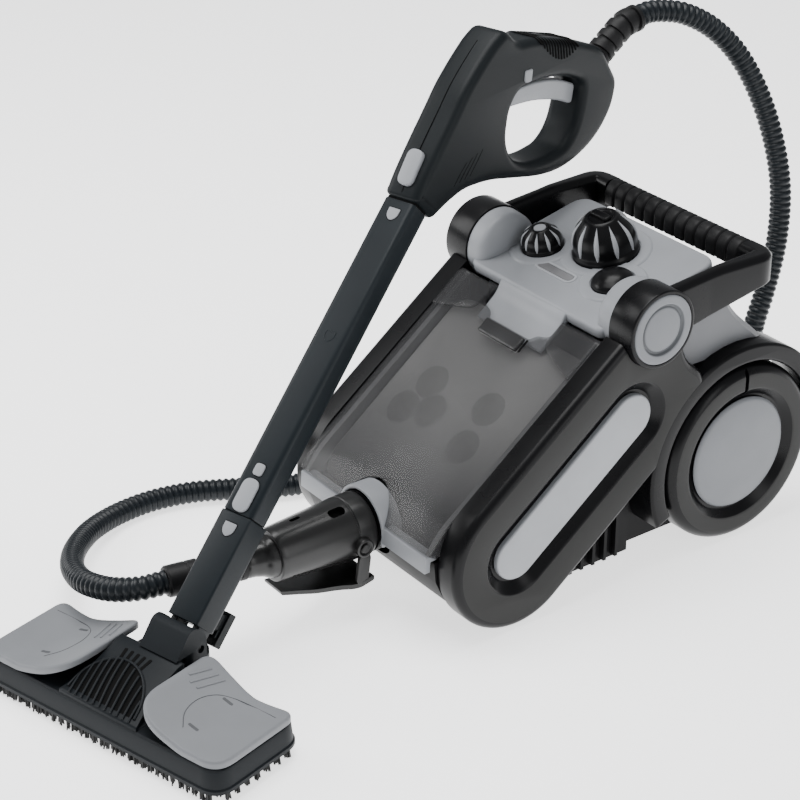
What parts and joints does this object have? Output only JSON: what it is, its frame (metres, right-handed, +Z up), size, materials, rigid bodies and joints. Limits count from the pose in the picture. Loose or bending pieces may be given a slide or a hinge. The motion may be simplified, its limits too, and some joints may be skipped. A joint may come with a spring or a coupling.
{
  "type": "canister steam cleaner",
  "caption": "Canister steam cleaner on rear wheels with a clear front cover, carry handle, corrugated hose, steam gun, straight wand and floor brush.",
  "frame": {"origin": "middle of the footprint of the machine and wand together, on the floor", "axes": "+Z up, the machine's front and its hose socket face -Y, +X is to the machine's right seen from behind"},
  "size_m": [0.5158, 1.0497, 0.5656],
  "materials": {
    "black_gloss": "gloss",
    "satin_black": "satin",
    "dark_grey": "satin",
    "silver": "silver satin",
    "pad_grey": "satin",
    "wheel_black": "satin to gloss",
    "rubber": "matt",
    "hose_slate": "satin",
    "smoky_clear": "clear gloss",
    "steel": "satin",
    "circuit": "gloss",
    "bristle": "matt"
  },
  "bodies": {
    "machine": {"base_pan": "black_gloss", "rear_housing": "dark_grey", "right_side_panel": "black_gloss", "left_side_panel": "black_gloss", "right_side_inlay": "silver", "left_side_inlay": "silver", "right_wheel_arch": "black_gloss", "left_wheel_arch": "black_gloss", "right_drum_disc": "silver", "left_drum_disc": "silver", "rear_axle": "steel", "carry_handle": "black_gloss", "handle_grip": "rubber", "front_trim": "silver", "hose_socket": "satin_black", "water_tank": "dark_grey", "water_pump": "steel", "steam_pipe": "steel", "control_board": "circuit", "control_panel": "silver", "indicator_window": "smoky_clear", "steam_boiler": "steel", "heater_plate": "steel", "hose_plug": "satin_black", "hose_cuff": "rubber", "hose": "hose_slate", "gun_boot": "rubber", "upper_tube": "satin_black", "lower_neck": "satin_black", "neck_pin": "steel", "parking_hook": "satin_black", "gun_body": "satin_black"},
    "right_wheel_set": {"right_wheel": "wheel_black", "right_hub_disc": "silver"},
    "left_wheel_set": {"left_wheel": "wheel_black", "left_hub_disc": "silver"},
    "castor_swivel_fork": {"castor_fork": "satin_black"},
    "castor_roller": {"castor_wheel": "rubber"},
    "cap": {"boiler_cap": "black_gloss"},
    "dial": {"steam_dial": "black_gloss"},
    "button": {"power_button": "black_gloss"},
    "cover": {"front_cover": "smoky_clear"},
    "cover_catch": {"cover_latch": "black_gloss"},
    "plug_lever": {"plug_latch": "satin_black"},
    "trigger": {"gun_trigger": "silver"},
    "lock": {"gun_lock": "silver"},
    "gun_button": {"gun_release": "silver"},
    "tube_button": {"tube_release": "silver"},
    "slider": {"tube_slider": "silver"},
    "top_catch": {"upper_catch": "silver"},
    "bottom_catch": {"lower_catch": "silver"},
    "knuckle": {"brush_knuckle": "satin_black"},
    "brush": {"brush_base": "satin_black", "brush_bristles": "bristle"},
    "right_pad": {"right_brush_pad": "pad_grey"},
    "left_pad": {"left_brush_pad": "pad_grey"}
  },
  "joints": [
    {"name": "right_wheel_spin", "type": "hinge", "parent": "machine", "child": "right_wheel_set", "pos_m": [0.0954, 0.3398, 0.1045], "axis": [1, 0, 0], "continuous": true},
    {"name": "left_wheel_spin", "type": "hinge", "parent": "machine", "child": "left_wheel_set", "pos_m": [-0.1566, 0.3398, 0.1045], "axis": [1, 0, 0], "continuous": true},
    {"name": "castor_turn", "type": "hinge", "parent": "machine", "child": "castor_swivel_fork", "pos_m": [-0.0306, 0.0488, 0.032], "axis": [0, 0, 1], "continuous": true},
    {"name": "castor_roll", "type": "hinge", "parent": "castor_swivel_fork", "child": "castor_roller", "pos_m": [-0.0306, 0.0568, 0.012], "axis": [1, 0, 0], "continuous": true},
    {"name": "boiler_cap_turn", "type": "hinge", "parent": "machine", "child": "cap", "pos_m": [-0.0306, 0.25883, 0.31595], "axis": [0, -0.2215, 0.9751], "range_deg": [0, 360]},
    {"name": "steam_dial_turn", "type": "hinge", "parent": "machine", "child": "dial", "pos_m": [-0.0946, 0.22382, 0.308], "axis": [0, -0.2215, 0.9751], "range_deg": [0, 270]},
    {"name": "power_button_press", "type": "slide", "parent": "machine", "child": "button", "axis": [0, -0.2215, 0.9751], "range_m": [-0.003, 0], "stiffness_N_per_m": 300},
    {"name": "cover_open", "type": "hinge", "parent": "machine", "child": "cover", "pos_m": [-0.0306, -0.0602, 0.107], "axis": [1, 0, 0], "range_deg": [0, 25]},
    {"name": "cover_latch_press", "type": "slide", "parent": "cover", "child": "cover_catch", "axis": [0, -0.6112, 0.7915], "range_m": [-0.002, 0], "stiffness_N_per_m": 300},
    {"name": "plug_latch_squeeze", "type": "hinge", "parent": "machine", "child": "plug_lever", "pos_m": [-0.0306, -0.0902, 0.088], "axis": [1, 0, 0], "range_deg": [-4, 0], "stiffness_Nm_per_rad": 1.5},
    {"name": "gun_trigger_pull", "type": "hinge", "parent": "machine", "child": "trigger", "pos_m": [-0.11484, 0.17363, 0.484], "axis": [0.9659, 0.2588, 0], "range_deg": [0, 4], "stiffness_Nm_per_rad": 1.5},
    {"name": "gun_lock_slide", "type": "slide", "parent": "machine", "child": "lock", "axis": [0.9659, 0.2588, 0], "range_m": [-0.003, 0]},
    {"name": "gun_release_press", "type": "slide", "parent": "machine", "child": "gun_button", "axis": [0.2061, -0.769, 0.6051], "range_m": [-0.003, 0], "stiffness_N_per_m": 300},
    {"name": "tube_release_press", "type": "slide", "parent": "machine", "child": "tube_button", "axis": [0.1801, -0.6722, 0.7181], "range_m": [-0.003, 0], "stiffness_N_per_m": 300},
    {"name": "tube_slider_slide", "type": "slide", "parent": "machine", "child": "slider", "axis": [-0.1859, 0.6937, 0.6959], "range_m": [0, 0.004]},
    {"name": "upper_catch_press", "type": "slide", "parent": "machine", "child": "top_catch", "axis": [0.1801, -0.6722, 0.7181], "range_m": [-0.002, 0], "stiffness_N_per_m": 300},
    {"name": "lower_catch_press", "type": "slide", "parent": "machine", "child": "bottom_catch", "axis": [0.1801, -0.6722, 0.7181], "range_m": [-0.002, 0], "stiffness_N_per_m": 300},
    {"name": "brush_pitch", "type": "hinge", "parent": "machine", "child": "knuckle", "pos_m": [0.01634, -0.31597, 0.06822], "axis": [0.9659, 0.2588, 0], "range_deg": [-12, 8]},
    {"name": "brush_swivel", "type": "hinge", "parent": "knuckle", "child": "brush", "pos_m": [0.01634, -0.31597, 0.057], "axis": [0, 0, 1], "range_deg": [-9, 20]},
    {"name": "right_pad_press", "type": "hinge", "parent": "brush", "child": "right_pad", "pos_m": [0.12186, -0.3427, 0.042], "axis": [0.2588, -0.9659, 0], "range_deg": [0, 4], "stiffness_Nm_per_rad": 1.5},
    {"name": "left_pad_press", "type": "hinge", "parent": "brush", "child": "left_pad", "pos_m": [-0.08485, -0.39809, 0.042], "axis": [-0.2588, 0.9659, 0], "range_deg": [0, 4], "stiffness_Nm_per_rad": 1.5}
  ]
}
